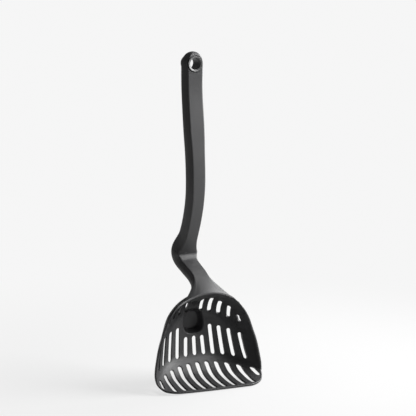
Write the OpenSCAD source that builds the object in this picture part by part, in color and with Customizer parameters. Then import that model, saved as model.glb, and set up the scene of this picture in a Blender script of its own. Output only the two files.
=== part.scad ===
// Slotted kitchen scoop with a kinked, hollow-moulded handle, a hanging eyelet and a rest foot.
// Lengths in millimetres. The part's origin is the middle of the hanging hole, +Z up, the open
// side of the bowl faces -Y. The heights below are counted upwards from the lip of the bowl.

/* [Handle] */
// Height of the hanging hole over the lip
hole_height = 287; // [240:1:340]
// Width of the handle's flat front at the top
grip_top_width = 15.2; // [14.8:0.2:18]
// Width of the handle's flat front at its waist
grip_waist_width = 12.6; // [10:0.2:15]
// Depth of the handle from front to back
grip_depth = 15; // [12:0.2:17]
// How far each side of the handle swells past the flat front
side_swell = 0.9; // [0.2:0.1:1.6]
// Length of the rounded end above the hanging hole
end_reach = 10.8; // [9.6:0.2:14]
// Width of the neck at its narrowest
neck_width = 15.2; // [12:0.2:18]
// Depth of the neck
neck_depth = 10; // [8.8:0.2:13]

/* [Eyelet] */
// Diameter of the hanging hole
hole_diameter = 10.3; // [7:0.1:11]
// Outer diameter of the eyelet ring
ring_diameter = 14.2; // [12.6:0.1:14.8]
// Chamfer on both mouths of the ring
ring_chamfer = 0.9; // [0.3:0.1:1.2]
// Clearance of the ring in its seat, on the radius
ring_clearance = 0.1; // [0.05:0.05:0.3]
// Tilt of the hole, front end up
ring_tilt = 4; // [0:0.5:8]

/* [Core] */
// Width of the stiff core inside handle and neck
core_width = 7; // [4:0.5:8]
// Depth of the stiff core
core_depth = 4.6; // [3:0.2:5.6]
// Clearance between the core and what is moulded round it
core_clearance = 0.1; // [0.05:0.05:0.3]

/* [Bowl] */
// Width of the bowl across its rim
bowl_width = 105; // [90:1:130]
// Height of the bowl from the lip to the arch under the neck
bowl_height = 85; // [75:1:95]
// Depth of the bowl behind its rim
bowl_depth = 29.2; // [22:0.1:36]
// How far the lip stands out in front of the rim
lip_reach = 17.6; // [12:0.1:24]
// Slant of the lip's edge
lip_slant = 4.8; // [0:0.2:10]
// Radius of the lip's corners
lip_corner = 14; // [6:0.5:18]
// Wall of the bowl
wall = 2.2; // [1.8:0.1:3]

/* [Slots] */
// Slots in each row
slot_count = 11; // [5:2:11]
// Width of a slot
slot_width = 3.7; // [2.4:0.1:4.4]

/* [Rest foot] */
// Width of the hollow foot at its lower edge
foot_width = 21; // [14:0.5:24]
// Height of the foot
foot_height = 22; // [16:0.5:26]
// How deep the foot's hollow goes behind the bowl's floor
foot_hollow = 8; // [5:0.5:10]
// Height of the foot's lower edge over the lip
foot_bottom = 42; // [40:0.5:46]

/* [Hidden] */

rim_y = -19.2;            // where the rim's sides stand
floor_y = rim_y + bowl_depth;
hole_y = 12;              // middle of the handle at the hanging hole
ring_length = grip_depth + 0.4;
nylon = [0.13, 0.13, 0.14];
ring_black = [0.2, 0.2, 0.21];
core_grey = [0.45, 0.45, 0.47];

// A smooth curve through the rows of a list, x = 0 at the first row
function row(list, i) = let (n = len(list) - 1)
    i < 0 ? 2 * list[0] - list[1] : i > n ? 2 * list[n] - list[n - 1] : list[i];
function blend4(a, b, c, d, t) =
    b + 0.5 * t * ((c - a) + t * ((2 * a - 5 * b + 4 * c - d) + t * (3 * (b - c) + d - a)));
function along(list, x) = let (i = min(max(floor(x), 0), len(list) - 2))
    blend4(row(list, i - 1), row(list, i), row(list, i + 1), row(list, i + 2), x - i);
function unit(v) = v / norm(v);

// ---- Handle and neck: [y, height, half width of the flat front, depth] down the middle line ----
top_half = grip_top_width / 2;
waist_half = grip_waist_width / 2;
neck_half = neck_width / 2;
kink_half = neck_half + 1.1;
kink_depth = grip_depth + 3.4;
grip_rows = [
    [hole_y, hole_height, top_half + 0.2, grip_depth],
    [12.0, hole_height - 24, top_half, grip_depth],
    [8.4, hole_height - 57, top_half, grip_depth],
    [5.9, 206, top_half * 0.4 + waist_half * 0.6, grip_depth],
    [4.8, 183, waist_half + 0.3, grip_depth],
    [6.5, 165, waist_half, grip_depth - 0.2],
    [10.9, 149, waist_half, grip_depth - 0.8],
    [16.7, 135, waist_half + 0.1, grip_depth - 1],
    [21.8, 125, waist_half + 0.7, grip_depth - 0.6],
    [27.3, 115.4, kink_half, kink_depth]];
neck_rows = [
    [27.3, 115.4, kink_half, kink_depth],
    [26.6, 108, kink_half + 0.2, kink_depth - 1.4],
    [20.5, 103.6, neck_half + 0.5, neck_depth + 1.4],
    [11.0, 99.6, neck_half, neck_depth],
    [2.6, 96.4, neck_half - 0.2, neck_depth],
    [-3.4, 92.6, neck_half, neck_depth + 1],
    [-6.8, 88.6, neck_half + 1, neck_depth + 4],
    [-8.4, 85, neck_half + 2.6, neck_depth + 7.4],
    [-9.2, 81.6, neck_half + 4, neck_depth + 8]];

section_step = 30;
back_roundness = 3.4;
function corner_pull(a) = pow(pow(abs(cos(a)), back_roundness) + pow(sin(a), back_roundness), 1 / back_roundness);
// The section: flat front with small rounded edges, swelling sides, rounded back
function section(half, depth, swell) = let (d = depth / 2, w = half + swell, edge = 0.9)
    concat(
        [[-half + edge, -d], [half - edge, -d], [half - 0.2, -d + 0.25], [half, -d + edge]],
        [for (k = [1:3]) [half + swell * sin(k * section_step), -d + edge + (d - edge) * k / 3]],
        [for (a = [20:20:160]) [w * cos(a) / corner_pull(a),
            d * sin(a) / corner_pull(a)]],
        [for (k = [3:-1:1]) [-half - swell * sin(k * section_step), -d + edge + (d - edge) * k / 3]],
        [[-half, -d + edge], [-half + 0.2, -d + 0.25]]);
function box_section(w, d) = [[-w, -d], [w, -d], [w, d], [-w, d]];

// One ring of a sweep: a flat section set square to the middle line, whose slope is [dy, dz]
function placed(points, at, slope) = let (t = unit(slope))
    [for (p = points) [p[0], at[0] - t[1] * p[1], at[1] + t[0] * p[1]]];
function slope_at(rows, x) = let (e = 0.02, a = along(rows, x - e), b = along(rows, x + e))
    [b[0] - a[0], b[1] - a[1]];
// The slope at the kink is shared by the handle and the neck, so their faces meet
kink_slope = [0.26, -0.97];
function sweep_ring(rows, x, first, last, points) =
    placed(points, along(rows, x), x == 0 ? first : x == len(rows) - 1 ? last : slope_at(rows, x));

module skin(rings) {
    n = len(rings[0]);
    m = len(rings);
    polyhedron(
        points = [for (r = rings) each r],
        faces = concat(
            [[for (j = [n - 1:-1:0]) j]],
            [for (i = [0:m - 2], j = [0:n - 1]) each let (k = (j + 1) % n, a = i * n, b = a + n)
                [[a + j, b + k, b + j], [a + j, a + k, b + k]]],
            [[for (j = [0:n - 1]) (m - 1) * n + j]]),
        convexity = 6);
}

// The rounded end above the hole, as shrinking rings
function end_rings() = [for (a = [80:-16:0]) let (c = cos(a), lift = end_reach * sin(a))
    placed(section((top_half + 0.2) * (0.12 + 0.88 * c), grip_depth * (0.3 + 0.7 * c),
        side_swell * c), [hole_y - 0.22 * lift, hole_height + lift], [0, -1])];
function grip_ring(x) = let (r = along(grip_rows, x))
    sweep_ring(grip_rows, x, [0, -1], kink_slope, section(r[2], r[3], side_swell));
function neck_ring(x) = let (r = along(neck_rows, x))
    sweep_ring(neck_rows, x, kink_slope, [0, -1], section(r[2], r[3], side_swell));

module handle_outside() {
    skin(concat(end_rings(), [for (x = [0.5:0.5:9]) grip_ring(x)]));
}
module neck_outside() {
    skin([for (x = [0:0.5:8]) neck_ring(x)]);
}

// The core follows the same middle line, from under the eyelet to the root of the neck
core_top_row = 0.72;
core_end_row = 5;
function core_rings(grow) = let (half = core_width / 2 + grow, d = core_depth / 2 + grow)
    concat(
        [for (x = [core_top_row:0.46:9.01]) sweep_ring(grip_rows, x, [0, -1], kink_slope,
            box_section(half, d))],
        [for (x = [0.5:0.5:core_end_row]) sweep_ring(neck_rows, x, kink_slope, [0, -1],
            box_section(half, d))]);
module core_shape(grow) {
    skin(core_rings(grow));
}

// ---- Bowl: [y at the middle, height at the middle, half width, y at the rim, height at the rim] ----
half_bowl = bowl_width / 2;
lip_y = rim_y - lip_reach;
function up(share) = bowl_height * share;
bowl_rows = [
    [rim_y - 4, up(1), 0.62 * half_bowl, rim_y + 2, up(0.86)],
    [floor_y - 20, up(0.965), 0.72 * half_bowl, rim_y + 1.6, up(0.76)],
    [floor_y - 8.4, up(0.895), 0.79 * half_bowl, rim_y + 1, up(0.67)],
    [floor_y - 2.4, up(0.805), 0.83 * half_bowl, rim_y + 0.6, up(0.60)],
    [floor_y, up(0.70), 0.87 * half_bowl, rim_y, up(0.52)],
    [floor_y, up(0.60), 0.92 * half_bowl, rim_y - 0.2, up(0.43)],
    [floor_y - 0.8, up(0.47), 0.96 * half_bowl, rim_y - 0.6, up(0.33)],
    [floor_y - 1.6, up(0.37), 0.985 * half_bowl, rim_y - 1, up(0.25)],
    [floor_y - 3.4, up(0.265), half_bowl, rim_y - 2, up(0.18)],
    [floor_y - 8.6, up(0.18), half_bowl, rim_y - 3.6, up(0.12)],
    [floor_y - 16.5, up(0.09), 0.99 * half_bowl, rim_y - 5, up(0.1)],
    [lip_y + 20, 4.2, 0.97 * half_bowl, rim_y - 7.5, 6.4],
    [lip_y + 10, 2.8, 0.94 * half_bowl, rim_y - 12.5, 4],
    [lip_y - 8, wall, 0.9 * half_bowl, lip_y - 8, wall]];
last_row = len(bowl_rows) - 1;
function fullness(x) = 2.4 + 0.9 * min(max((x - 3.5) / 2, 0), 1);
// A point of the bowl's inside: x is the row, u runs from -1 to 1 across it
function inside(x, u) = let (r = along(bowl_rows, x))
    [u * r[2], r[0] + (r[3] - r[0]) * pow(abs(u), fullness(x)), r[1] + (r[4] - r[1]) * u * u];
function outward(x, u) = let (e = 0.02)
    unit(cross(inside(x, u + e) - inside(x, u - e), inside(x + e, u) - inside(x - e, u)));
function outside(x, u) = inside(x, u) + outward(x, u) * wall;

across = [for (j = [0:22]) sin(-90 + j * 180 / 22) * 0.55 + (-1 + j / 11) * 0.45];
down = [for (i = [0:2 * last_row]) i / 2];

module sheet_solid(front, back, n = len(across)) {
    m = len(front) / n;
    s = n * m;
    polyhedron(
        points = concat(front, back),
        faces = concat(
            [for (i = [0:m - 2], j = [0:n - 2]) each let (a = i * n + j)
                [[a, a + 1, a + n + 1], [a, a + n + 1, a + n]]],
            [for (i = [0:m - 2], j = [0:n - 2]) each let (a = s + i * n + j)
                [[a, a + n + 1, a + 1], [a, a + n, a + n + 1]]],
            [for (j = [0:n - 2]) each let (a = j, b = (m - 1) * n + j)
                [[a, a + s, a + s + 1], [a, a + s + 1, a + 1],
                 [b, b + 1, b + s + 1], [b, b + s + 1, b + s]]],
            [for (i = [0:m - 2]) each let (a = i * n, b = a + n - 1)
                [[a, a + n, a + n + s], [a, a + n + s, a + s],
                 [b, b + s, b + n + s], [b, b + n + s, b + n]]]),
        convexity = 10);
}

// The bowl's wall, and the room inside its dome that the neck's root keeps out of
module bowl_wall() {
    sheet_solid([for (x = down, u = across) inside(x, u)], [for (x = down, u = across) outside(x, u)]);
}
module dome_room() {
    push = [0, -60, -40];
    function face(x, u) = inside(x, u) + outward(x, u) * wall / 2;
    sheet_solid([for (x = down, u = across) face(x, u) + push], [for (x = down, u = across) face(x, u)]);
}

// The flare of the neck's front into the rim: a plate standing on the arch
flare_reach = 0.9;
function flare_rise(x) = 0.6 + 10.5 * exp(-max(abs(x) - neck_half, 0) / 4.6);
function flare_point(u, lift) = let (p = inside(0, u), rise = lift * flare_rise(p[0]))
    p + [0, 0.62 * rise, rise - 0.4];
module flare() {
    spread = [for (j = [0:24]) flare_reach * (j / 12 - 1)];
    back = [0, 4.4, -1.2];
    face = [for (lift = [1:-0.25:0], u = spread) flare_point(u, lift)];
    sheet_solid(face, [for (p = face) p + back], len(spread));
}

// The lip's outline from above: a slanted front edge between two rounded corners
lip_half = 0.945 * half_bowl;
shoulder_y = rim_y - 7;
module lip_outline() {
    linear_extrude(height = 3 * bowl_height, center = true) {
        hull() for (x = [-1, 1] * (lip_half - lip_corner))
            translate([x, lip_y + lip_corner - x * tan(lip_slant)]) {
                circle(r = lip_corner, $fn = 48);
                translate([0, 60]) circle(r = lip_corner, $fn = 48);
            }
        translate([-bowl_width, shoulder_y]) square([2 * bowl_width, bowl_height]);
    }
}

// ---- Slots: [row at the top end, row at the bottom end, pitch at the top, pitch at the bottom] ----
function pitch_share(mm) = mm / 52.5 * half_bowl;
half_count = (slot_count - 1) / 2;
function slot_ends(line, k) =
    line == 0 ? [abs(k) == 5 ? 2.95 : 2.1, k == 0 ? 2.75 : abs(k) == 5 ? 3.35 : 3.5, 7.1, 7.4]
    : line == 1 ? [abs(k) < 1.5 ? 6.25 : 5.27, 7.8, 8.1, 8.95]
    : [9.02 + 0.02 * k * k, abs(k) == 5 ? 10.75 : 12.1 + 0.08 * max(k, 0), 9.3, 9.5];
slot_steps = 4;
function slot_point(line, k, t) = let (e = slot_ends(line, k), x = e[0] + (e[1] - e[0]) * t,
    fan = line == 1 ? 1.02 - 0.0026 * k * k : 1,
    mm = k * fan * (e[2] + (e[3] - e[2]) * t), u = pitch_share(mm) / along(bowl_rows, x)[2]) [x, u];

module slot_pin(line, k, t) {
    p = slot_point(line, k, t);
    n = outward(p[0], p[1]);
    c = inside(p[0], p[1]) + n * wall / 2;
    length = wall + 4.5;
    tilt = acos(n[2]);
    turn = atan2(n[1], n[0]);
    translate(c) rotate([0, tilt, turn]) cylinder(h = length, d = slot_width, center = true, $fn = 12);
}
module slots() {
    for (line = [0:2], k = [-half_count:half_count], i = [0:slot_steps - 1])
        hull() {
            slot_pin(line, k, i / slot_steps);
            slot_pin(line, k, (i + 1) / slot_steps);
        }
}

// ---- Rest foot: a hollow boss pressed out behind the bowl's floor ----
module foot_block(side, from, to) {
    corner = 4.5;
    bottom = foot_bottom - side;
    top = foot_bottom + foot_height + side;
    half = foot_width / 2 + side;
    hull() {
        for (s = [-1, 1]) {
            translate([s * (half - corner), from, bottom + corner]) rotate([-90, 0, 0])
                cylinder(h = 0.1, r = corner, $fn = 24);
            translate([s * (half * 0.74 - corner), from, top - corner]) rotate([-90, 0, 0])
                cylinder(h = 0.1, r = corner, $fn = 24);
            translate([s * (half - corner - 1.6), to - 2.5, bottom + corner + 1]) sphere(r = 2.5, $fn = 20);
            translate([s * (half * 0.66 - corner), to - 2.5, top - corner - 2]) sphere(r = 2.5, $fn = 20);
        }
    }
}

// ---- Pieces ----
module seat_at_hole() {
    translate([0, -hole_y, -hole_height]) children();
}
module ring_axis() {
    rotate([90 - ring_tilt, 0, 0]) children();
}

module scoop_head() {
    color(nylon) seat_at_hole() difference() {
        union() {
            intersection() {
                union() {
                    bowl_wall();
                    foot_block(wall, floor_y - 0.6, floor_y + foot_hollow + wall);
                }
                lip_outline();
            }
            difference() {
                union() {
                    neck_outside();
                    flare();
                }
                dome_room();
            }
        }
        core_shape(core_clearance);
        slots();
        foot_block(0, floor_y - 12, floor_y + foot_hollow);
    }
}

module grip_sleeve() {
    color(nylon) difference() {
        seat_at_hole() difference() {
            handle_outside();
            core_shape(core_clearance);
        }
        ring_axis() cylinder(h = 3 * grip_depth, d = ring_diameter + 2 * ring_clearance, center = true, $fn = 64);
    }
}

module handle_core() {
    color(core_grey) seat_at_hole() core_shape(0);
}

module eyelet_ring() {
    half = ring_length / 2;
    r = hole_diameter / 2;
    c = ring_chamfer;
    color(ring_black) ring_axis() rotate_extrude($fn = 96)
        polygon([[r, -half + c], [r + c, -half], [ring_diameter / 2, -half],
            [ring_diameter / 2, half], [r + c, half], [r, half - c]]);
}

scoop_head();
grip_sleeve();
handle_core();
eyelet_ring();
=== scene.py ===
"""Slotted kitchen scoop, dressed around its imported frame.

The classes measure in millimetres as the maker does: x across, y backwards from the open side,
h upwards from the lip. `to_frame` turns that into the frame's metres about the hanging hole.
"""

import sys

import logging
import math
from collections.abc import Callable
from dataclasses import dataclass, field
from enum import Enum

import bmesh
import bpy
import numpy as np
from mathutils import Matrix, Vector, geometry

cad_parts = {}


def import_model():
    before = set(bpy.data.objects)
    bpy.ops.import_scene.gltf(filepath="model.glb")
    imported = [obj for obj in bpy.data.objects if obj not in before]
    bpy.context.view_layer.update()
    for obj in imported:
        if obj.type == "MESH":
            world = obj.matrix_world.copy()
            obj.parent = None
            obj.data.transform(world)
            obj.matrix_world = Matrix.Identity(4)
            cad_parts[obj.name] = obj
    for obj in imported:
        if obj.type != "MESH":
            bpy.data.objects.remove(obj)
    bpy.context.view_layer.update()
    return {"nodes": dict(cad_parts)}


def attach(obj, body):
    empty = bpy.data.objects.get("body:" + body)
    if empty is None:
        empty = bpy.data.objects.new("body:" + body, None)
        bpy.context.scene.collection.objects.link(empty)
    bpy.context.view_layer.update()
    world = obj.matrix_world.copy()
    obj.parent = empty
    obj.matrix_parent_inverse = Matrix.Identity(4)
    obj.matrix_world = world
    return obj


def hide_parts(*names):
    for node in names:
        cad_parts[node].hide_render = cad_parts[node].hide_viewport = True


LOG = logging.getLogger("scoop")
MM = 0.001
HOLE_BACK = 12.0
HOLE_HEIGHT = 287.0
# Height of a triangle in a lattice of them, as a share of its side
LATTICE_ROW = 0.87
BODY = "root"


class Finish(Enum):
    """The record's material slots that the pieces take their finish from."""

    HEAD = "head_nylon"
    GRIP = "grip_nylon"
    CORE = "core_grey"
    RING = "ring_black"


class SlotRow(Enum):
    """The three rows of slots, from the dome down to the lip."""

    DOME = "dome"
    WALL = "wall"
    FLOOR = "floor"


# ---- Small geometry helpers ----


def to_frame(points: np.ndarray) -> np.ndarray:
    """Moves maker's millimetres to the frame's metres.

    Args:
        points: Array of x, y, h rows in millimetres.

    Returns:
        The same points in metres about the middle of the hanging hole.
    """
    return (np.asarray(points, float) - (0.0, HOLE_BACK, HOLE_HEIGHT)) * MM


def along(rows: np.ndarray, x: np.ndarray) -> np.ndarray:
    """Follows a smooth curve through the rows of a table.

    Args:
        rows: Table of values, one row a station.
        x: Stations to read at, 0 being the first row.

    Returns:
        One row of values for each station.
    """
    x = np.atleast_1d(np.asarray(x, float))
    n = len(rows) - 1
    i = np.clip(np.floor(x).astype(int), 0, n - 1)
    ext = np.vstack([2 * rows[0] - rows[1], rows, 2 * rows[-1] - rows[-2]])
    a, b, c, d = ext[i], ext[i + 1], ext[i + 2], ext[i + 3]
    t = (x - i)[:, None]
    return b + 0.5 * t * ((c - a) + t * ((2 * a - 5 * b + 4 * c - d) + t * (3 * (b - c) + d - a)))


def unit(v: np.ndarray) -> np.ndarray:
    """Scales vectors to length one along their last axis."""
    return v / np.maximum(np.linalg.norm(v, axis=-1, keepdims=True), 1e-12)


def smooth(t: np.ndarray) -> np.ndarray:
    """Eases from 0 to 1 with no corner at either end."""
    t = np.clip(t, 0.0, 1.0)
    return t * t * t * (t * (6 * t - 15) + 10)


def in_polygon(points: np.ndarray, loop: np.ndarray) -> np.ndarray:
    """Tests flat points against a closed loop.

    Args:
        points: Flat points to test.
        loop: Corners of the loop, in order.

    Returns:
        True for each point inside the loop.
    """
    inside = np.zeros(len(points), bool)
    px, py = points[:, 0], points[:, 1]
    for (ax, ay), (bx, by) in zip(loop, np.roll(loop, -1, axis=0)):
        if ay == by:
            continue
        crosses = (ay > py) != (by > py)
        inside ^= crosses & (px < (bx - ax) * (py - ay) / (by - ay) + ax)
    return inside


def inset(loop: np.ndarray, by: float) -> np.ndarray:
    """Moves a flat closed loop sideways.

    Args:
        loop: Corners of the loop, in order.
        by: Distance to its left-hand side; negative goes right.

    Returns:
        The moved corners, one for each of the loop's.
    """
    before = unit(loop - np.roll(loop, 1, axis=0))
    after = unit(np.roll(loop, -1, axis=0) - loop)
    turn = np.array([[0.0, -1.0], [1.0, 0.0]])
    left_a, left_b = before @ turn.T, after @ turn.T
    mitre = unit(left_a + left_b)
    reach = by / np.maximum((mitre * left_a).sum(1), 0.5)
    return loop + mitre * reach[:, None]


def spread(points: np.ndarray, count: int) -> np.ndarray:
    """Spaces points evenly along an open line.

    Args:
        points: The line's corners.
        count: How many points to return, both ends included.

    Returns:
        The evenly spaced points.
    """
    step = np.r_[0, np.cumsum(np.linalg.norm(np.diff(points, axis=0), axis=1))]
    want = np.linspace(0, step[-1], count)
    return np.stack([np.interp(want, step, points[:, k]) for k in range(points.shape[1])], axis=1)


def new_piece(name: str, mesh: bpy.types.Mesh) -> bpy.types.Object:
    """Links a mesh to the scene as an object at the origin."""
    piece = bpy.data.objects.new(name, mesh)
    bpy.context.scene.collection.objects.link(piece)
    return piece


def plain_mesh(name: str, points: np.ndarray, faces: list) -> bpy.types.Mesh:
    """Makes a smooth-shaded mesh whose faces all point outwards.

    Args:
        name: Name of the mesh.
        points: Corners in maker's millimetres.
        faces: Lists of corner numbers.

    Returns:
        The new mesh, in the frame's metres.
    """
    mesh = bpy.data.meshes.new(name)
    mesh.from_pydata(to_frame(points).tolist(), [], faces)
    work = bmesh.new()
    work.from_mesh(mesh)
    bmesh.ops.recalc_face_normals(work, faces=work.faces)
    for face in work.faces:
        face.smooth = True
    work.to_mesh(mesh)
    work.free()
    return mesh


def baked(piece: bpy.types.Object) -> None:
    """Applies a piece's modifiers to its mesh and takes them off."""
    graph = bpy.context.evaluated_depsgraph_get()
    mesh = bpy.data.meshes.new_from_object(
        piece.evaluated_get(graph), preserve_all_data_layers=True, depsgraph=graph
    )
    piece.modifiers.clear()
    piece.data = mesh


def flat_weighted(piece: bpy.types.Object) -> None:
    """Lets the broad faces rule the shading, so flats stay flat next to rounded edges."""
    weigh = piece.modifiers.new("even_shading", "WEIGHTED_NORMAL")
    weigh.mode = "FACE_AREA"
    weigh.weight = 60
    weigh.keep_sharp = True
    baked(piece)


def band(first: list, second: list) -> list:
    """Quads between two closed loops of point numbers."""
    n = len(first)
    return [[first[j], first[(j + 1) % n], second[(j + 1) % n], second[j]] for j in range(n)]


def tube_faces(ring_count: int, corners: int, closed: bool = False) -> list:
    """Joins equal closed rings into quads.

    Args:
        ring_count: How many rings there are.
        corners: Points in each ring.
        closed: True if the last ring meets the first, False to cap both ends.

    Returns:
        Lists of corner numbers.
    """
    rings = [list(range(i * corners, (i + 1) * corners)) for i in range(ring_count)]
    faces = [face for a, b in zip(rings, rings[1:]) for face in band(a, b)]
    return faces + (band(rings[-1], rings[0]) if closed else [rings[0], rings[-1]])


def add_node(
    tree: bpy.types.NodeTree, kind: str, given: dict | None = None, **options: object
) -> bpy.types.Node:
    """Adds a node, sets its options and fills its inputs.

    Args:
        tree: The node tree.
        kind: Blender's name for the kind of node.
        given: Input name or number to its value, or to the socket that feeds it.
        **options: The node's own settings.

    Returns:
        The new node.
    """
    node = tree.nodes.new(kind)
    for name, value in options.items():
        setattr(node, name, value)
    for key, value in (given or {}).items():
        if isinstance(value, bpy.types.NodeSocket):
            tree.links.new(value, node.inputs[key])
        else:
            node.inputs[key].default_value = value
    return node


# ---- Finishes ----


@dataclass(frozen=True)
class MouldedNylon:
    """Satin black moulded plastic: fine spark-eroded grain over slightly uneven gloss.

    Attributes:
        name: Name of the material.
        colour: Base colour, linear.
        roughness: Middle roughness.
        roughness_play: How far the roughness wanders each way.
        grain: Cells of fine grain a metre.
        grain_depth: Depth of the grain in metres.
        cloud: Cells a metre of the slow waviness left by the mould.
        specular: Strength of the plain reflection.
        tint_play: Share by which the colour wanders each way.
        grain_share: What the fine grain counts for in the gloss, next to the waviness.
    """

    name: str
    colour: tuple[float, float, float]
    roughness: float = 0.42
    roughness_play: float = 0.05
    grain: float = 2600.0
    grain_depth: float = 0.00003
    cloud: float = 55.0
    specular: float = 0.5
    tint_play: float = 0.14
    grain_share: float = 0.35

    def build(self) -> bpy.types.Material:
        """Makes the node material.

        Returns:
            The finished material.
        """
        mat = bpy.data.materials.new(self.name)
        mat.use_nodes = True
        tree = mat.node_tree
        shader = tree.nodes["Principled BSDF"]
        shader.inputs["Specular IOR Level"].default_value = self.specular
        place = add_node(tree, "ShaderNodeTexCoord").outputs["Object"]

        def noise(scale: float, detail: float) -> bpy.types.NodeSocket:
            """Adds one noise texture on object coordinates."""
            given = {"Scale": scale, "Detail": detail, "Vector": place}
            return add_node(tree, "ShaderNodeTexNoise", given).outputs["Fac"]

        slow, fine = noise(self.cloud, 3.0), noise(self.grain, 2.0)
        dark, light = ((*[c * k for c in self.colour], 1) for k in self._tints())
        tint = add_node(
            tree, "ShaderNodeMixRGB", {"Color1": dark, "Color2": light, "Fac": slow}
        )
        calm = add_node(
            tree, "ShaderNodeMath", {0: slow, 1: 1 - self.grain_share}, operation="MULTIPLY"
        )
        both = add_node(
            tree,
            "ShaderNodeMath",
            {0: fine, 1: self.grain_share, 2: calm.outputs[0]},
            operation="MULTIPLY_ADD",
        )
        gloss = add_node(
            tree,
            "ShaderNodeMapRange",
            {
                "From Min": 0.3,
                "From Max": 0.7,
                "To Min": self.roughness - self.roughness_play,
                "To Max": self.roughness + self.roughness_play,
                "Value": both.outputs[0],
            },
        )
        bump = add_node(
            tree,
            "ShaderNodeBump",
            {"Strength": 1.0, "Distance": self.grain_depth, "Height": fine},
        )
        for made, name in ((tint, "Base Color"), (gloss, "Roughness"), (bump, "Normal")):
            tree.links.new(made.outputs[0], shader.inputs[name])
        return mat

    def _tints(self) -> tuple[float, float]:
        """Darkest and lightest share of the base colour."""
        return 1 - self.tint_play, 1 + self.tint_play


HEAD_FINISH = MouldedNylon("head_nylon", (0.022, 0.022, 0.023), roughness=0.48, specular=0.38)
GRIP_FINISH = MouldedNylon("grip_nylon", (0.022, 0.022, 0.023), roughness=0.46, grain=3000.0)
RING_FINISH = MouldedNylon(
    "ring_black", (0.06, 0.06, 0.061), roughness=0.4, grain=1800.0, grain_depth=0.00001
)
CORE_FINISH = MouldedNylon("core_grey", (0.16, 0.16, 0.17), roughness=0.55, grain=1500.0)


# ---- Slots ----


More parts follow.
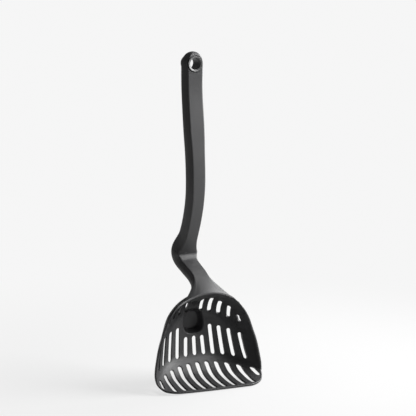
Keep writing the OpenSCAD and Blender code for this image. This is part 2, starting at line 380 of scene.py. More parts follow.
@dataclass
class SlotTree:
    """Geometry Nodes tree that lays out a row of slot outlines, flat on the bowl's sheet.

    It takes one point a slot, whose attributes say where the slot starts and ends, sets a
    ring of corners on each, makes the rings real and bends each into a round-ended slot.

    Attributes:
        quarter: Corners on each quarter of an outline.
    """

    quarter: int = 12
    tree: bpy.types.NodeTree = field(init=False)
    sockets: dict[str, str] = field(init=False, default_factory=dict)

    def __post_init__(self) -> None:
        """Builds the tree and remembers its inputs' identifiers."""
        self.tree = bpy.data.node_groups.new("slot_outlines", "GeometryNodeTree")
        face = self.tree.interface
        face.new_socket("Geometry", in_out="INPUT", socket_type="NodeSocketGeometry")
        for name, kind in (
            ("Slot Width", "NodeSocketFloat"),
            ("Corners", "NodeSocketInt"),
            ("Finish", "NodeSocketMaterial"),
        ):
            self.sockets[name] = face.new_socket(name, in_out="INPUT", socket_type=kind).identifier
        face.new_socket("Geometry", in_out="OUTPUT", socket_type="NodeSocketGeometry")
        self._wire()

    @property
    def corners(self) -> int:
        """Corners of one outline."""
        return 4 * self.quarter

    def _wire(self) -> None:
        """Adds and joins the tree's nodes."""
        tree = self.tree
        given = {s.name: s for s in add_node(tree, "NodeGroupInput").outputs}

        def maths(operation: str, *values: object, clamp: bool = False) -> bpy.types.NodeSocket:
            """Adds one Math node; each value is a number or a socket."""
            wired = dict(enumerate(values))
            options = {"operation": operation, "use_clamp": clamp}
            return add_node(tree, "ShaderNodeMath", wired, **options).outputs[0]

        def named(name: str) -> bpy.types.NodeSocket:
            """Reads one of the points' attributes."""
            node = add_node(
                tree, "GeometryNodeInputNamedAttribute", {"Name": name}, data_type="FLOAT"
            )
            return next(s for s in node.outputs if s.name == "Attribute" and s.enabled)

        ring = add_node(tree, "GeometryNodeMeshCircle", {"Vertices": given["Corners"]})
        setting = add_node(
            tree,
            "GeometryNodeInstanceOnPoints",
            {"Points": given["Geometry"], "Instance": ring.outputs["Mesh"]},
        )
        real = add_node(
            tree, "GeometryNodeRealizeInstances", {"Geometry": setting.outputs["Instances"]}
        )

        number = add_node(tree, "GeometryNodeInputIndex").outputs[0]
        quarter = maths("DIVIDE", given["Corners"], 4.0)
        place = maths("DIVIDE", maths("MODULO", number, given["Corners"]), quarter)
        # Quarters 0 and 2 turn round an end, 1 and 3 run along a side
        turned = maths(
            "ADD",
            maths("ADD", place, 0.0, clamp=True),
            maths("SUBTRACT", place, 2.0, clamp=True),
        )
        angle = maths("MULTIPLY", turned, math.pi)
        run = maths(
            "SUBTRACT",
            maths("SUBTRACT", place, 1.0, clamp=True),
            maths("SUBTRACT", place, 3.0, clamp=True),
        )

        def between(first: str, last: str) -> bpy.types.NodeSocket:
            """Goes from one attribute to another along the slot."""
            a = named(first)
            return maths("MULTIPLY_ADD", maths("SUBTRACT", named(last), a), run, a)

        half = maths("MULTIPLY", given["Slot Width"], 0.5)
        across = maths(
            "MULTIPLY_ADD",
            maths("MULTIPLY", maths("COSINE", angle), half),
            named("across_scale"),
            between("across_first", "across_last"),
        )
        down = maths(
            "SUBTRACT",
            between("down_first", "down_last"),
            maths("MULTIPLY", maths("MULTIPLY", maths("SINE", angle), half), named("down_scale")),
        )
        spot = add_node(tree, "ShaderNodeCombineXYZ", {"X": across, "Y": down})
        bend = add_node(
            tree,
            "GeometryNodeSetPosition",
            {"Geometry": real.outputs["Geometry"], "Position": spot.outputs[0]},
        )
        dress = add_node(
            tree,
            "GeometryNodeSetMaterial",
            {"Geometry": bend.outputs["Geometry"], "Material": given["Finish"]},
        )
        add_node(tree, "NodeGroupOutput", {0: dress.outputs["Geometry"]})

    def outlines(
        self, table: dict[str, np.ndarray], width: float, finish: bpy.types.Material
    ) -> np.ndarray:
        """Runs the tree on one row of slots.

        Args:
            table: Attribute name to one value a slot.
            width: Width of the slots in millimetres.
            finish: Material given to the outlines.

        Returns:
            Array of slots by corners by 2, in the sheet's flat millimetres.
        """
        count = len(table["across_first"])
        points = bpy.data.meshes.new("slot_points")
        points.from_pydata([(0.0, 0.0, 0.0)] * count, [], [])
        for name, values in table.items():
            points.attributes.new(name, "FLOAT", "POINT").data.foreach_set("value", list(values))
        holder = new_piece("slot_points", points)
        run = holder.modifiers.new("slots", "NODES")
        run.node_group = self.tree
        run[self.sockets["Slot Width"]] = float(width)
        run[self.sockets["Corners"]] = self.corners
        run[self.sockets["Finish"]] = finish
        baked(holder)
        flat = np.array([v.co[:2] for v in holder.data.vertices])
        bpy.data.objects.remove(holder)
        return flat.reshape(count, self.corners, 2)


# ---- Bowl ----


@dataclass
class RestFoot:
    """Hollow foot pressed out of the bowl's back.

    Attributes:
        half_low: Half width at its lower edge.
        half_high: Half width at its upper edge.
        bottom: Height of its lower edge.
        height: Its height.
        depth: How far it is pressed out.
        roundness: How square it is seen from the front, 2 being an ellipse.
        slope: Width of the band over which its side falls away.
        easing: Share of the depth that it loses towards its upper edge.
    """

    half_low: float = 11.2
    half_high: float = 9.4
    bottom: float = 41.6
    height: float = 23.5
    depth: float = 8.4
    roundness: float = 2.7
    slope: float = 4.2
    easing: float = 0.35

    def push(self, x: np.ndarray, h: np.ndarray, grow: float) -> np.ndarray:
        """Gives how far the sheet is pressed back at each place.

        Args:
            x: Places across.
            h: Their heights.
            grow: How much wider all round the pressing is.

        Returns:
            Distances in millimetres.
        """
        share = np.clip((h - self.bottom) / self.height, 0, 1)
        half = self.half_low + (self.half_high - self.half_low) * share
        reach = self.height / 2
        across, up = np.abs(x) / half, np.abs(h - self.bottom - reach) / reach
        size = (across**self.roundness + up**self.roundness) ** (1 / self.roundness)
        off = (size - 1) * half
        depth = self.depth * (1 - self.easing * smooth(share))
        return depth * smooth((grow + 0.5 - off) / self.slope)


@dataclass
class Bowl:
    """Wide concave bowl with three rows of slots and a straight slanted lip.

    Attributes:
        half: Half its width across the rim.
        height: Height from the lip to the arch.
        rim: Where the rim's sides stand.
        depth: Depth behind the rim.
        lip_reach: How far the lip stands out in front of the rim.
        slant: Slant of the lip's edge in degrees.
        wall: Wall thickness.
        dome_extra: How much thicker the dome's wall is.
        fullness: How square the section is in the dome, and what that grows by below it.
        slot_widths: Width of a slot in the dome, the wall and the floor.
        slot_edge: Rounding of a slot's edges.
        rim_edge: Rounding of the rim's edges.
        corner_rows: Rows at which the lip's left and right corners begin.
        shoulder: Share of the half width at which the lip's straight edge ends.
        bulge: How full the lip's corners are, 1 being a quarter of an ellipse.
        edge_step: Spacing of the points along the sheet's edge.
        grid: Spacing of the sheet's points.
        fine_share: Share of that spacing kept round the rest foot.
        foot: The rest foot.
    """

    half: float = 52.5
    height: float = 85.0
    rim: float = -19.2
    depth: float = 29.2
    lip_reach: float = 17.6
    slant: float = 4.8
    wall: float = 2.0
    dome_extra: float = 0.9
    fullness: tuple[float, float] = (2.4, 0.9)
    slot_widths: tuple[float, float, float] = (3.5, 4.1, 4.4)
    slot_edge: float = 0.3
    rim_edge: float = 0.6
    corner_rows: tuple[float, float] = (9.3, 10.0)
    shoulder: float = 0.63
    bulge: float = 1.22
    edge_step: float = 1.1
    grid: float = 1.6
    fine_share: float = 0.36
    foot: RestFoot = field(default_factory=RestFoot)

    def __post_init__(self) -> None:
        """Works out the rows and the length down the middle."""
        up, rim, half = self.height, self.rim, self.half
        floor = rim + self.depth
        self.lip = rim - self.lip_reach
        self.rows = np.array(
            [
                [rim - 0.8, 0.99 * up, 0.62 * half, rim + 2, 0.86 * up],
                [floor - 20, 0.965 * up, 0.72 * half, rim + 1.6, 0.76 * up],
                [floor - 8.4, 0.895 * up, 0.79 * half, rim + 1, 0.67 * up],
                [floor - 2.4, 0.805 * up, 0.83 * half, rim + 0.6, 0.60 * up],
                [floor, 0.70 * up, 0.87 * half, rim, 0.52 * up],
                [floor - 0.8, 0.60 * up, 0.92 * half, rim - 0.2, 0.43 * up],
                [floor - 1.9, 0.47 * up, 0.96 * half, rim - 0.6, 0.33 * up],
                [floor - 2.8, 0.37 * up, 0.985 * half, rim - 1, 0.25 * up],
                [floor - 4.2, 0.265 * up, half, rim - 2, 0.18 * up],
                [floor - 8.8, 0.18 * up, 0.992 * half, rim - 3.6, 0.12 * up],
                [floor - 16.5, 0.09 * up, 0.978 * half, rim - 5, 0.1 * up],
                [self.lip + 20, 4.2, 0.957 * half, rim - 7.5, 6.4],
                [self.lip + 10, 2.8, 0.94 * half, rim - 12.5, 4.0],
                [self.lip - 8, self.wall, 0.9 * half, self.lip - 8, self.wall],
            ]
        )
        self.stations = np.linspace(-0.4, len(self.rows) - 0.6, 700)
        line = along(self.rows, self.stations)[:, :2]
        steps = np.r_[0, np.cumsum(np.linalg.norm(np.diff(line, axis=0), axis=1))]
        self.lengths = steps - np.interp(0.0, self.stations, steps)

    def down_at(self, row: np.ndarray) -> np.ndarray:
        """Length down the middle to a row, in millimetres."""
        return np.interp(row, self.stations, self.lengths)

    def row_at(self, down: np.ndarray) -> np.ndarray:
        """Row at a length down the middle."""
        return np.interp(down, self.lengths, self.stations)

    def inside(self, flat: np.ndarray) -> np.ndarray:
        """Lays flat sheet points on the bowl's inside.

        Args:
            flat: Points as millimetres across and down the middle.

        Returns:
            The points in maker's millimetres, before the foot is pressed.
        """
        row = self.row_at(flat[:, 1])
        y, h, half, y_rim, h_rim = along(self.rows, row).T
        u = np.abs(flat[:, 0] / half)
        full = self.fullness[0] + self.fullness[1] * np.clip((row - 3.5) / 2, 0, 1)
        return np.stack([flat[:, 0], y + (y_rim - y) * u**full, h + (h_rim - h) * u * u], axis=1)

    @staticmethod
    def normals(surface: Callable, flat: np.ndarray) -> np.ndarray:
        """Backward-facing normals of a surface over the sheet's flat points."""
        step = 0.04
        dx, dy = np.array([step, 0.0]), np.array([0.0, step])
        along_x = surface(flat + dx) - surface(flat - dx)
        along_y = surface(flat + dy) - surface(flat - dy)
        return unit(np.cross(along_x, along_y))

    def through(self, flat: np.ndarray) -> np.ndarray:
        """Steps through the wall, straight back where the slots are and square at the rim.

        Args:
            flat: Points on the sheet.

        Returns:
            The step from the inside to the outside at each point.
        """
        # Rows where the straight step starts and where the dome's thicker wall ends, and the
        # least that a slanted step may count for, so that it never grows past a few walls
        straight_row, dome_end, least = 3.9, 5.2, 0.35
        row = self.row_at(flat[:, 1])
        u = np.abs(flat[:, 0]) / along(self.rows, row)[:, 2]
        square = self.normals(self.inside, flat)
        straight = unit(square * (0.0, 1.0, 1.0))
        share = (smooth((0.98 - u) / 0.12) * smooth(row - straight_row))[:, None]
        way = unit(square * (1 - share) + straight * share)
        extra = self.dome_extra * smooth((0.92 - u) / 0.18)
        wall = self.wall + extra * smooth((dome_end - row) / 2.0) * smooth(row)
        return way * (wall / np.maximum((way * square).sum(1), least))[:, None]

    def front(self, flat: np.ndarray) -> np.ndarray:
        """The inside, with the foot's hollow pressed in."""
        points = self.inside(flat)
        points[:, 1] += self.foot.push(points[:, 0], points[:, 2], 0.0)
        return points

    def back(self, flat: np.ndarray) -> np.ndarray:
        """The outside, with the foot's boss pressed out."""
        points = self.inside(flat)
        push = self.foot.push(points[:, 0], points[:, 2], self.wall * 0.9)
        points = points + self.through(flat)
        points[:, 1] += push
        return points

    def edge_y(self, x: np.ndarray) -> np.ndarray:
        """Where the lip's slanted edge lies."""
        return self.lip - x * math.tan(math.radians(self.slant))

    def down_to(self, x: np.ndarray, y: np.ndarray) -> np.ndarray:
        """Finds how far down the sheet a place near the lip is.

        Args:
            x: Places across.
            y: Their places seen from above.

        Returns:
            Length down the sheet at each place.
        """
        low = np.full(len(x), self.down_at(8.5))
        high = np.full(len(x), self.down_at(13.2))
        for _ in range(40):
            mid = (low + high) / 2
            short = self.inside(np.stack([x, mid], axis=1))[:, 1] > y
            low, high = np.where(short, mid, low), np.where(short, high, mid)
        return low

    def outline(self) -> np.ndarray:
        """Edge of the sheet: arch, right rim, lip, left rim.

        Returns:
            Flat corners of the closed loop.
        """
        last_left, last_right = self.corner_rows
        end = self.shoulder * self.half

        def rim_line(first: float, last: float, side: int) -> np.ndarray:
            """One side's rim from a row to another."""
            row = np.linspace(first, last, 90)
            return np.stack([side * along(self.rows, row)[:, 2], self.down_at(row)], axis=1)

        def corner(side: int, last: float) -> np.ndarray:
            """Round corner, seen from above, from the rim to the lip's edge."""
            _, _, half, y_rim, _ = along(self.rows, last)[0]
            x = side * self.shoulder * self.half
            y = self.edge_y(np.array([x]))[0]
            turn = np.linspace(0, math.pi / 2, 42)[1:-1]
            across = x + (side * half - x) * np.cos(turn) ** self.bulge
            out = y_rim + (y - y_rim) * np.sin(turn) ** self.bulge
            return np.stack([across, self.down_to(across, out)], axis=1)

        half_top = self.rows[0, 2]
        arch = np.stack([np.linspace(-half_top, half_top, 80), np.zeros(80)], axis=1)
        edge = np.linspace(end, -end, 80)
        lip = np.stack([edge, self.down_to(edge, self.edge_y(edge))], axis=1)
        right = np.vstack([rim_line(0, last_right, 1), corner(1, last_right)])
        left = np.vstack([rim_line(0, last_left, -1), corner(-1, last_left)])
        around = np.vstack([arch[:-1], right, lip, left[::-1]])
        length = np.linalg.norm(np.diff(around, axis=0), axis=1).sum()
        return spread(around, int(length / self.edge_step))[:-1]

    def slot_table(self, row: SlotRow) -> dict[str, np.ndarray]:
        """Says where each slot of a row starts and ends.

        Args:
            row: The row of slots.

        Returns:
            Attribute name to one value a slot.
        """
        k = np.arange(-5, 6, dtype=float)
        end = np.abs(k) == 5
        fan = np.ones(11)
        if row is SlotRow.DOME:
            first = np.where(end, 2.95, 1.9 + 0.02 * k * k)
            last = np.where(k == 0, 2.75, np.where(end, 3.35, 3.5))
            pitch = (7.1, 7.4)
        elif row is SlotRow.WALL:
            first = np.where(np.abs(k) < 1.5, 6.25, 5.27)
            last = np.full(11, 7.8)
            pitch = (8.1, 8.95)
            fan = 1.015 - 0.0014 * k * k
        else:
            first = 9.02 + 0.02 * k * k
            last = np.where(end, 10.85, 12.34 + 0.04 * k - 0.01 * k * k)
            pitch = (9.3, 9.5)
        table = {
            "across_first": k * fan * pitch[0],
            "across_last": k * fan * pitch[1],
            "down_first": self.down_at(first),
            "down_last": self.down_at(last),
        }
        mid = np.stack(
            [
                (table["across_first"] + table["across_last"]) / 2,
                (table["down_first"] + table["down_last"]) / 2,
            ],
            axis=1,
        )
        for name, step in (("across_scale", (0.5, 0.0)), ("down_scale", (0.0, 0.5))):
            move = np.array(step)
            span = self.inside(mid + move) - self.inside(mid - move)
            table[name] = 1 / np.linalg.norm(span, axis=1)
        return table

    def _fill(self, edge: np.ndarray, holes: list) -> tuple[np.ndarray, np.ndarray, list]:
        """Fills the sheet between its edge and its slots with triangles.

        Args:
            edge: Sheet's edge, a flat loop.
            holes: Flat loops of the slots.

        Returns:
            Flat points, triangles, and each loop's point numbers.
        """
        foot_rows, foot_half, clear = (2.9, 6.6), 15.0, 0.55
        low, high = edge.min(0), edge.max(0)
        loops = [edge, *holes]
        rim_points = np.vstack(loops)

        def lattice(x0: float, x1: float, y0: float, y1: float, gap: float) -> np.ndarray:
            """Points of a triangular lattice in a box."""
            ys = np.arange(y0, y1, gap * LATTICE_ROW)
            lines = []
            for i, y in enumerate(ys):
                xs = np.arange(x0 + (i % 2) * gap / 2, x1, gap)
                lines.append(np.stack([xs, np.full(len(xs), y)], axis=1))
            return np.vstack(lines)

        wide = lattice(low[0], high[0], low[1], high[1], self.grid)
        foot_box = (-foot_half, foot_half, *(float(self.down_at(r)) for r in foot_rows))
        fine = lattice(*foot_box, self.grid * self.fine_share)
        inner = (
            (wide[:, 0] > foot_box[0])
            & (wide[:, 0] < foot_box[1])
            & (wide[:, 1] > foot_box[2])
            & (wide[:, 1] < foot_box[3])
        )
        free = np.vstack([wide[~inner], fine])
        gap = np.array([np.min(np.hypot(*(rim_points - p).T)) for p in free])
        free = free[gap > clear]
        keep = in_polygon(free, edge)
        for hole in holes:
            keep &= ~in_polygon(free, hole)
        points = np.vstack([rim_points, free[keep]])
        numbers, borders, at = [], [], 0
        for loop in loops:
            ring = list(range(at, at + len(loop)))
            numbers.append(ring)
            borders += list(zip(ring, ring[1:] + ring[:1]))
            at += len(loop)
        made, _, faces, origin, _, _ = geometry.delaunay_2d_cdt(
            [Vector(p) for p in points], borders, [], 0, 1e-7, True
        )
        where = {old: new for new, olds in enumerate(origin) for old in olds}
        flat = np.array([list(v) for v in made])
        tris = np.array([list(f) for f in faces])
        centre = flat[tris].mean(1)
        good = in_polygon(centre, edge)
        for hole in holes:
            good &= ~in_polygon(centre, hole)
        return flat, tris[good], [[where[i] for i in ring] for ring in numbers]

    def mesh(self, tree: SlotTree, finish: bpy.types.Material) -> bpy.types.Mesh:
        """Makes the bowl as one closed shell with rounded edges.

        Args:
            tree: The tree that lays out the slots.
            finish: Material of the bowl.

        Returns:
            The bowl's mesh with exact normals.
        """
        cut_edges, sheet_edges, roundings = [], [], []
        rim = self.outline()
        if not in_polygon(inset(rim, 1.0)[:1], rim)[0]:
            rim = rim[::-1]
        cut_edges.append(rim)
        sheet_edges.append(inset(rim, self.rim_edge))
        roundings.append(self.rim_edge)
        for row in SlotRow:
            table = self.slot_table(row)
            width = self.slot_widths[list(SlotRow).index(row)]
            cut = tree.outlines(table, width, finish)
            sheet = tree.outlines(table, width + 2 * self.slot_edge, finish)
            cut_edges += list(cut)
            sheet_edges += list(sheet)
            roundings += [self.slot_edge] * len(cut)
        flat, tris, rings = self._fill(sheet_edges[0], sheet_edges[1:])
        count = len(flat)
        front, back = self.front(flat), self.back(flat)
        points = [front, back]
        normals = [-self.normals(self.front, flat), self.normals(self.back, flat)]
        faces = [t.tolist() for t in tris] + [(t[::-1] + count).tolist() for t in tris]
        at = 2 * count
        turns = [k * math.pi / 8 for k in range(1, 5)]
        for cut, ring, rounding in zip(cut_edges, rings, roundings):
            start = flat[ring]
            away = unit(self.inside(cut) - self.inside(start))
            bands = []
            for side in (0, 1):
                part = []
                for turn in turns:
                    place = start + (cut - start) * math.sin(turn)
                    face = self.normals(self.inside, place)
                    deep = rounding * (1 - math.cos(turn)) / self.wall
                    deep = 1 - deep if side else deep
                    sign = 1 if side else -1
                    spot = self.inside(place) + self.through(place) * deep
                    part.append((spot, unit(sign * face * math.cos(turn) + away * math.sin(turn))))
                bands += part[::-1] if side else part
            last = ring
            for spot, normal in bands:
                points.append(spot)
                normals.append(normal)
                fresh = list(range(at, at + len(ring)))
                at += len(ring)
                faces += band(last, fresh)
                last = fresh
            faces += band(last, [n + count for n in ring])
        mesh = plain_mesh("bowl", np.vstack(points), faces)
        mesh.normals_split_custom_set_from_vertices(np.vstack(normals).tolist())
        return mesh


# ---- Handle and neck ----


@dataclass
class Section:
    """Cross section of handle and neck: flat front, swelling sides, rounded back.

    Attributes:
        edge: Radius of the front's edges.
        fullness: How square the back is.
        side_steps: Points on half of one side.
        arc_steps: Points on one front edge.
        front_steps: Points over the flat front.
        back_steps: Points over the back.
    """

    edge: float = 1.5
    fullness: float = 3.0
    side_steps: int = 7
    arc_steps: int = 14
    front_steps: int = 12
    back_steps: int = 40

    def points(self, half: float, depth: float, swell: float) -> np.ndarray:
        """Goes once round, from the left side's middle over the front to the back.

        Args:
            half: Half the width of the flat front.
            depth: Depth from front to back.
            swell: How far each side swells past the front's edge.

        Returns:
            Flat points, x across and y backwards.
        """
        d = depth / 2
        edge = min(self.edge, half * 0.6, d * 0.6)
        v = np.linspace(1, 0, self.side_steps, endpoint=False)
        side = np.stack(
            [-half - swell * np.sin(v * math.pi / 2), -d + edge + (d - edge) * v], axis=1
        )
        t = np.linspace(0, math.pi / 2, self.arc_steps)
        arc = np.stack([-half + edge - edge * np.cos(t), -d + edge - edge * np.sin(t)], axis=1)
        x = np.linspace(-half + edge, 0, self.front_steps // 2 + 1)[1:]
        flat = np.stack([x, np.full(len(x), -d)], axis=1)
        left = np.vstack([side, arc, flat])
        right = (left * (-1, 1))[::-1][1:]
        a = np.linspace(0, math.pi, self.back_steps + 2)[1:-1]
        pull = (np.abs(np.cos(a)) ** self.fullness + np.sin(a) ** self.fullness) ** (
            1 / self.fullness
        )
        back = np.stack([(half + swell) * np.cos(a) / pull, d * np.sin(a) / pull], axis=1)
        return np.vstack([left, right, back])


@dataclass
class Stem:
    """What handle and neck share: the section and the middle line they follow.

    Attributes:
        section: Their cross section.
        swell: How far the sides swell.
        kink: Row at which handle and neck meet.
        top_half: Half width of the handle's front at the hanging hole.
        waist_half: Half width at its waist.
        neck_half: Half width of the neck's front.
        depth: Depth of the handle.
        neck_depth: Depth of the neck.
    """

    section: Section = field(default_factory=Section)
    swell: float = 0.9
    kink: float = 9.0
    top_half: float = 7.6
    waist_half: float = 6.3
    neck_half: float = 7.6
    depth: float = 15.0
    neck_depth: float = 10.0

    def __post_init__(self) -> None:
        """Works out the table of y, height, half width and depth, from the hole down."""
        top, waist, neck, deep, slim = (
            self.top_half,
            self.waist_half,
            self.neck_half,
            self.depth,
            self.neck_depth,
        )
        self.rows = np.array(
            [
                [12.0, 287, top + 0.2, deep],
                [12.0, 263, top, deep],
                [8.6, 230, top, deep + 0.4],
                [6.4, 206, top * 0.4 + waist * 0.6, deep + 1],
                [5.4, 183, waist + 0.3, deep + 1.1],
                [7.1, 165, waist, deep + 1],
                [11.4, 149, waist, deep + 0.3],
                [17.1, 135, waist + 0.1, deep - 0.1],
                [22.5, 125, waist + 0.9, deep],
                [29.0, 116.3, neck + 2.6, deep + 4.4],
                [26.8, 108.5, neck + 2.3, deep + 1.4],
                [20.5, 103.6, neck + 0.9, slim + 2.2],
                [11.0, 99.6, neck + 0.4, slim + 1.6],
                [2.6, 96.4, neck + 0.2, slim + 1.8],
                [-3.4, 92.6, neck + 0.3, slim + 2.2],
                [-6.8, 88.6, neck + 1, slim + 4],
            ]
        )

    def placed(self, flat: np.ndarray, at: np.ndarray, slope: np.ndarray) -> np.ndarray:
        """Sets a section square to the middle line.

        Args:
            flat: The section's points.
            at: The middle line's y and height.
            slope: Direction of the middle line, y and height.

        Returns:
            Points in maker's millimetres.
        """
        ty, th = unit(np.asarray(slope, float))
        return np.stack([flat[:, 0], at[0] - th * flat[:, 1], at[1] + ty * flat[:, 1]], axis=1)

    def slope(self, x: float) -> np.ndarray:
        """Direction of the middle line at a row, eased so that the kink stays round."""
        ease = 0.85 * min(1.0, x + 0.04)
        a, b = along(self.rows, [x - ease, x + ease])[:, :2]
        return unit(b - a)

    def rings(self, last: float) -> tuple[np.ndarray, int]:
        """Rings from the hanging hole down, with the fold at the kink rounded off.

        Args:
            last: Row of the last ring.

        Returns:
            The rings, and the number of the one at the kink.
        """
        per_row, reach, rounded = 16, 20, 2.2
        at_kink = int(self.kink * per_row)
        below = int((last - self.kink) * per_row)
        x = np.r_[np.linspace(0, self.kink, at_kink + 1), np.linspace(self.kink, last, below)[1:]]
        sharp = np.array([self.ring(v) for v in x])
        weights = np.hanning(2 * reach + 3)[1:-1]
        padded = np.pad(sharp, ((reach, reach), (0, 0), (0, 0)), mode="edge")
        soft = sum(w * padded[i : i + len(x)] for i, w in enumerate(weights)) / weights.sum()
        share = smooth(rounded - np.abs(x - self.kink - 0.2))[:, None, None]
        return sharp * (1 - share) + soft * share, at_kink

    def ring(self, x: float) -> np.ndarray:
        """One ring of handle or neck."""
        at = along(self.rows, x)[0]
        flat = self.section.points(at[2], at[3], self.swell)
        return self.placed(flat, at[:2], self.slope(x))


@dataclass
class Neck:
    """Neck from the kink down to the bowl, flaring into the arch of the rim.

    Attributes:
        stem: The shared stem.
        bowl: The bowl it grows out of.
        leave_row: Row of the stem at which the flare begins.
        wing: How far across the arch the flare runs.
        spread: How far across the arch its flat front spreads.
        spine: Half width of the ridge that runs down the dome's back.
        spine_rows: How far down the dome the ridge runs, in the bowl's rows.
        lap: How far down the dome the flare laps over elsewhere, in rows.
        start: Half width at which the wings begin.
        pull_out: How strongly the flare runs out of the arch at the middle, and what the
            wings add.
        pull_down: The same, where it leaves the neck.
        steps: Rings over the flare.
    """

    stem: Stem
    bowl: Bowl
    leave_row: float = 13.6
    wing: float = 27.5
    spread: float = 15.0
    spine: float = 7.0
    spine_rows: float = 2.7
    lap: float = 0.45
    start: float = 7.0
    pull_out: tuple[float, float] = (7.0, 26.0)
    pull_down: tuple[float, float] = (11.0, 6.0)
    steps: int = 26

    def _arch(self, x: np.ndarray, row: np.ndarray, deep: np.ndarray) -> np.ndarray:
        """Points in the bowl's wall near the arch.

        Args:
            x: Places across.
            row: Rows of the bowl.
            deep: Depth into the wall from the inside.

        Returns:
            Points in maker's millimetres.
        """
        flat = np.stack([x, self.bowl.down_at(row)], axis=1)
        return self.bowl.inside(flat) + self.bowl.normals(self.bowl.inside, flat) * deep[:, None]

    def _root(self) -> tuple[np.ndarray, np.ndarray]:
        """The flare's last ring, inside the bowl's wall, and how the flare runs into it.

        Returns:
            Ring of points, and each one's direction times its strength.
        """
        section = self.stem.section
        inner = self.spread
        v = np.linspace(1, 0, section.side_steps, endpoint=False)
        side = -self.wing * (1 - 0.22 * v)
        t = np.linspace(0, 1, section.arc_steps)
        arc = -(inner + (self.wing - inner) * (1 - t) ** 1.5)
        flat = -inner * np.linspace(1, 0, section.front_steps // 2 + 1)[1:] ** 1.1
        left = np.r_[side, arc, flat]
        left_row = np.r_[self.lap * v, np.zeros(len(t) + len(flat))]
        a = np.linspace(0, math.pi, section.back_steps + 2)[1:-1]
        x_back = 0.78 * self.wing * np.sign(np.cos(a)) * np.abs(np.cos(a)) ** 1.4
        spine = np.exp(-((x_back / self.spine) ** 2))
        back_row = self.lap + self.spine_rows * spine * (1 - np.abs(np.cos(a)) ** 4)
        x = np.r_[left, -left[::-1][1:], x_back]
        row = np.r_[left_row, left_row[::-1][1:], back_row]
        is_back = row > 0
        deep = np.full(len(x), 1.0)
        ring = self._arch(x, row, deep)
        # Down at the middle, along the arch at the wings
        step = 0.05
        lean = unit(self._arch(x + step, row, deep) - self._arch(x - step, row, deep))
        lean = lean * np.sign(x)[:, None]
        tip = np.where(is_back, 0.35, -0.5)
        down = unit(np.stack([np.zeros(len(x)), tip, -np.ones(len(x))], axis=1))
        share = smooth((np.abs(x) - 3.0) / 13.0)[:, None]
        run = unit(down * (1 - share) + lean * share)
        return ring, run * self._pull(self.pull_out, x)

    def _pull(self, pull: tuple[float, float], x: np.ndarray) -> np.ndarray:
        """Strength of a pull at places across, growing out to the wing's tip."""
        out = np.clip((np.abs(x) - self.start) / (self.wing - self.start), 0, 1)
        return (pull[0] + pull[1] * out)[:, None]

    def mesh(self) -> bpy.types.Mesh:
        """Makes neck and flare as one closed skin.

        Returns:
            The neck's mesh.
        """
        stem = self.stem
        made, at_kink = stem.rings(self.leave_row)
        rings = list(made[at_kink:])
        first, leave = rings[-1], stem.slope(self.leave_row)
        last, arrive = self._root()
        depart = np.array([0.0, *leave]) * self._pull(self.pull_down, last[:, 0])
        for t in np.linspace(0, 1, self.steps)[1:]:
            a, b = 2 * t**3 - 3 * t**2 + 1, t**3 - 2 * t**2 + t
            c, d = -2 * t**3 + 3 * t**2, t**3 - t**2
            rings.append(first * a + depart * b + last * c + arrive * d)
        return plain_mesh("neck", np.vstack(rings), tube_faces(len(rings), len(first)))


@dataclass
class Grip:
    """Long handle moulded round the core, with a rounded hanging end.

    Attributes:
        stem: The shared stem.
        end_reach: Length of the rounded end above the hanging hole.
        squareness: How long the end's front stays flat before it turns over.
        front_roll: How far back the end's front has turned at its top.
        back_lean: How far the end's back leans forwards for each unit of height.
        end_rings: Rings over the rounded end.
        seat: Radius of the eyelet's seat.
        tilt: Tilt of the hanging hole in degrees, front end up.
    """

    stem: Stem
    end_reach: float = 10.8
    squareness: float = 3.0
    front_roll: float = 4.4
    back_lean: float = 0.22
    end_rings: int = 18
    seat: float = 7.6
    tilt: float = 4.0

    def build(self) -> bpy.types.Object:
        """Makes the handle with the eyelet's seat cut through it.

        Returns:
            The handle's object.
        """
        stem, rings = self.stem, []
        top = stem.rows[0]
        for a in np.radians(np.linspace(88, 0, self.end_rings)):
            c, lift = math.cos(a), self.end_reach * math.sin(a)
            full = 1 - (1 - math.sin(a) ** self.squareness) ** (1 / self.squareness)
            front = top[0] - top[3] / 2 + self.front_roll * full
            back = top[0] - self.back_lean * lift + top[3] / 2 * (0.3 * c**0.4 + 0.7 * c)
            half = top[2] * (0.12 * c**0.4 + 0.88 * c)
            flat = stem.section.points(half, max(back - front, 0.8), stem.swell * c)
            at = np.array([(front + back) / 2, top[1] + lift])
            rings.append(stem.placed(flat, at, (0, -1)))
        made, at_kink = stem.rings(stem.kink + 4)
        rings += list(made[1 : at_kink + 1])
        name, faces = "grip_sleeve_skin", tube_faces(len(rings), len(rings[0]))
        piece = new_piece(name, plain_mesh(name, np.vstack(rings), faces))
        seat = [(self.seat, -stem.depth), (self.seat, stem.depth)]
        cutter = new_piece("seat_cutter", lathe("seat_cutter", seat, self.tilt, closed=False))
        cut = piece.modifiers.new("seat", "BOOLEAN")
        cut.object, cut.operation, cut.solver = cutter, "DIFFERENCE", "EXACT"
        baked(piece)
        bpy.data.objects.remove(cutter)
        piece.data.set_sharp_from_angle(angle=math.radians(40))
        flat_weighted(piece)
        return piece


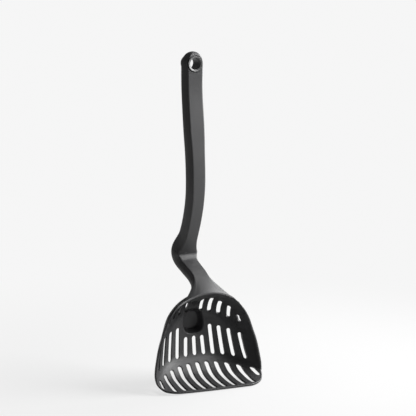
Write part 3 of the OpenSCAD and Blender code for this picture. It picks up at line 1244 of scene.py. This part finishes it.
def lathe(name: str, profile: list, tilt: float, closed: bool, steps: int = 128) -> bpy.types.Mesh:
    """Turns a profile round the hanging hole's axis.

    Args:
        name: Name of the mesh.
        profile: Pairs of radius and place along the axis, in millimetres.
        tilt: Tilt of the axis in degrees, front end up.
        closed: True if the profile's ends meet, False to cap both ends.
        steps: Faces round the axis.

    Returns:
        The turned mesh.
    """
    around = np.linspace(0, 2 * math.pi, steps, endpoint=False)
    c, s = math.cos(math.radians(tilt)), math.sin(math.radians(tilt))
    points = []
    for r, y in profile:
        x, z = r * np.cos(around), r * np.sin(around)
        points.append(np.stack([x, y * c + z * s, -y * s + z * c], axis=1))
    faces = tube_faces(len(profile), steps, closed)
    return plain_mesh(name, np.vstack(points) + (0, HOLE_BACK, HOLE_HEIGHT), faces)


@dataclass
class Eyelet:
    """Ring that lines the hanging hole, with a rounded bead at both mouths.

    Attributes:
        hole: Radius of the hole.
        outer: Radius outside.
        length: Length along the hole.
        chamfer: How far the mouths open.
        reach: How deep the mouths open.
        bead: Radius of the mouths' outer edges.
        tilt: Tilt of the hole in degrees, front end up.
    """

    hole: float = 5.15
    outer: float = 7.02
    length: float = 15.4
    chamfer: float = 1.5
    reach: float = 0.5
    bead: float = 0.28
    tilt: float = 4.0

    def build(self) -> bpy.types.Object:
        """Makes the ring.

        Returns:
            The ring's object.
        """
        half, bead = self.length / 2, self.bead
        mouth = []
        for a in np.linspace(0, math.pi / 2, 6):
            out, deep = math.cos(a), 1 - math.sin(a)
            mouth.append((self.outer - bead + bead * out, -half + bead * deep))
        for t in np.linspace(0.06, 1, 10):
            mouth.append((self.hole + self.chamfer * (1 - t), -half + self.reach * t**1.35))
        mouth.append((self.hole, -half + self.reach + 0.5))
        profile = mouth + [(r, -y) for r, y in mouth[::-1]]
        piece = new_piece("eyelet_bead", lathe("eyelet_bead", profile, self.tilt, closed=True))
        flat_weighted(piece)
        return piece


# ---- The scoop ----


@dataclass
class Scoop:
    """The whole tool: head, handle, eyelet and the hidden core."""

    stem: Stem = field(default_factory=Stem)
    bowl: Bowl = field(default_factory=Bowl)

    def build(self, nodes: dict[str, bpy.types.Object]) -> None:
        """Makes every piece and ties it to the frame.

        Args:
            nodes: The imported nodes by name.
        """
        head, grip = HEAD_FINISH.build(), GRIP_FINISH.build()
        ring, core = RING_FINISH.build(), CORE_FINISH.build()
        bowl = new_piece("bowl", self.bowl.mesh(SlotTree(), head))
        self._tie(bowl, head, Finish.HEAD, "scoop_head")
        neck = new_piece("neck", Neck(self.stem, self.bowl).mesh())
        flat_weighted(neck)
        self._tie(neck, head, Finish.HEAD, "scoop_head")
        self._tie(Grip(self.stem).build(), grip, Finish.GRIP, "grip_sleeve")
        self._tie(Eyelet().build(), ring, Finish.RING, "eyelet_ring")
        hidden = nodes["handle_core"].data.materials
        hidden.clear()
        hidden.append(core)
        LOG.info("handle_core keeps its packed shape, in %s", core.name)

    @staticmethod
    def _tie(
        piece: bpy.types.Object, material: bpy.types.Material, finish: Finish, node: str
    ) -> None:
        """Dresses a piece, ties it to the body and hides the node it stands for."""
        piece.data.materials.clear()
        piece.data.materials.append(material)
        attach(piece, BODY)
        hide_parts(node)
        LOG.info("%s: %d faces, in %s", piece.name, len(piece.data.polygons), material.name)


# ---- Studio ----


@dataclass(frozen=True)
class Lamp:
    """One soft square lamp.

    Attributes:
        name: Its name.
        at: Where it stands.
        to: What it faces.
        size: Length of its side in metres.
        power: Its power in watts.
    """

    name: str
    at: tuple[float, float, float]
    to: tuple[float, float, float]
    size: float
    power: float

    def build(self) -> None:
        """Sets the lamp up in the scene."""
        data = bpy.data.lights.new(self.name, "AREA")
        data.size, data.energy = self.size, self.power
        lamp = bpy.data.objects.new(self.name, data)
        lamp.location = self.at
        way = Vector(self.to) - Vector(self.at)
        lamp.rotation_euler = way.to_track_quat("-Z", "Y").to_euler()
        bpy.context.scene.collection.objects.link(lamp)


LAMPS = (
    Lamp("key", (0.8, -0.42, 0.34), (0.0, 0.0, -0.12), 0.7, 32.0),
    Lamp("side", (0.95, 0.3, 0.1), (0.0, 0.0, -0.12), 0.6, 8.0),
    Lamp("top", (0.48, 0.3, 0.85), (0.0, 0.0, -0.18), 0.6, 3.0),
    Lamp("fill", (-0.9, -0.7, 0.1), (0.0, 0.0, -0.2), 0.7, 0.3),
)


@dataclass
class Studio:
    """Pale floor, soft lamps and the camera.

    Attributes:
        backdrop: Grey of the background.
        ambient: Strength of the light from all round.
        floor_tone: Grey of the floor itself.
        floor_fade: Where the floor starts and ends going over into the background, in metres
            from the scoop, and how far it has gone from the start.
        floor_height: Height of the floor in metres.
        floor_reach: Half the length of its side in metres.
        camera_turn: The camera's turn round the scoop and its lift, in degrees.
        camera_target: What it looks at.
        camera_away: Its distance in metres.
        lens: Its focal length in millimetres.
    """

    backdrop: float = 0.92
    ambient: float = 0.16
    floor_tone: float = 0.52
    floor_fade: tuple[float, float, float] = (0.1, 0.42, 0.74)
    floor_height: float = -HOLE_HEIGHT * MM - 0.0002
    floor_reach: float = 30.0
    camera_turn: tuple[float, float] = (-28.0, 12.0)
    camera_target: tuple[float, float, float] = (0.010, -0.012, -0.129)
    camera_away: float = 2.0
    lens: float = 194.45

    def build(self) -> None:
        """Makes world, floor, lamps and camera."""
        self._world()
        self._floor()
        for lamp in LAMPS:
            lamp.build()
        self._camera()
        bpy.context.scene.view_settings.view_transform = "Standard"

    def _world(self) -> None:
        """Pale to the camera, dimmer as light."""
        world = bpy.data.worlds.new("room")
        bpy.context.scene.world = world
        world.use_nodes = True
        tree = world.node_tree
        tree.nodes.clear()
        white = {"Color": (1.0, 1.0, 1.0, 1), "Strength": self.ambient}
        light = add_node(tree, "ShaderNodeBackground", white)
        seen = add_node(tree, "ShaderNodeBackground", {"Color": self._pale(self.backdrop)})
        camera = add_node(tree, "ShaderNodeLightPath").outputs["Is Camera Ray"]
        given = {0: camera, 1: light.outputs[0], 2: seen.outputs[0]}
        mix = add_node(tree, "ShaderNodeMixShader", given)
        add_node(tree, "ShaderNodeOutputWorld", {0: mix.outputs[0]})

    @staticmethod
    def _pale(tone: float) -> tuple[float, float, float, float]:
        """A plain grey as a node colour."""
        return (tone, tone, tone, 1)

    def _floor(self) -> None:
        """Broad pale floor that keeps a soft shadow."""
        mesh = bpy.data.meshes.new("floor")
        reach = self.floor_reach
        corners = [(-reach, -reach, 0), (reach, -reach, 0), (reach, reach, 0), (-reach, reach, 0)]
        mesh.from_pydata(corners, [], [(0, 1, 2, 3)])
        floor = new_piece("floor", mesh)
        floor.location.z = self.floor_height
        mat = bpy.data.materials.new("floor")
        mat.use_nodes = True
        tree = mat.node_tree
        tree.nodes.clear()
        lit = add_node(tree, "ShaderNodeBsdfDiffuse", {"Color": self._pale(self.floor_tone)})
        glow = add_node(tree, "ShaderNodeEmission", {"Color": self._pale(self.backdrop)})
        place = add_node(tree, "ShaderNodeTexCoord").outputs["Object"]
        away = add_node(tree, "ShaderNodeVectorMath", {0: place}, operation="LENGTH")
        given = dict(zip(("From Min", "From Max", "To Min"), self.floor_fade))
        given["Value"] = away.outputs["Value"]
        fade = add_node(tree, "ShaderNodeMapRange", given, interpolation_type="SMOOTHSTEP")
        camera = add_node(tree, "ShaderNodeLightPath").outputs["Is Camera Ray"]
        given = {0: camera, 1: fade.outputs["Result"]}
        part = add_node(tree, "ShaderNodeMath", given, operation="MULTIPLY")
        given = {0: part.outputs[0], 1: lit.outputs[0], 2: glow.outputs[0]}
        mix = add_node(tree, "ShaderNodeMixShader", given)
        add_node(tree, "ShaderNodeOutputMaterial", {0: mix.outputs[0]})
        floor.data.materials.append(mat)

    def _camera(self) -> None:
        """Long lens from the left, a little above."""
        turn, lift = (math.radians(v) for v in self.camera_turn)
        target = Vector(self.camera_target)
        back = Vector(
            (math.sin(turn) * math.cos(lift), -math.cos(turn) * math.cos(lift), math.sin(lift))
        )
        data = bpy.data.cameras.new("camera")
        data.lens, data.sensor_width = self.lens, 36.0
        camera = bpy.data.objects.new("camera", data)
        camera.location = target + back * self.camera_away
        camera.rotation_euler = (-back).to_track_quat("-Z", "Y").to_euler()
        bpy.context.scene.collection.objects.link(camera)
        bpy.context.scene.camera = camera


def main() -> None:
    """Loads the frame, builds the scoop and its studio."""
    logging.basicConfig(level=logging.INFO, format="%(name)s: %(message)s", stream=sys.stdout)
    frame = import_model()
    Scoop().build(frame["nodes"])
    Studio().build()


if __name__ == "__main__":
    main()
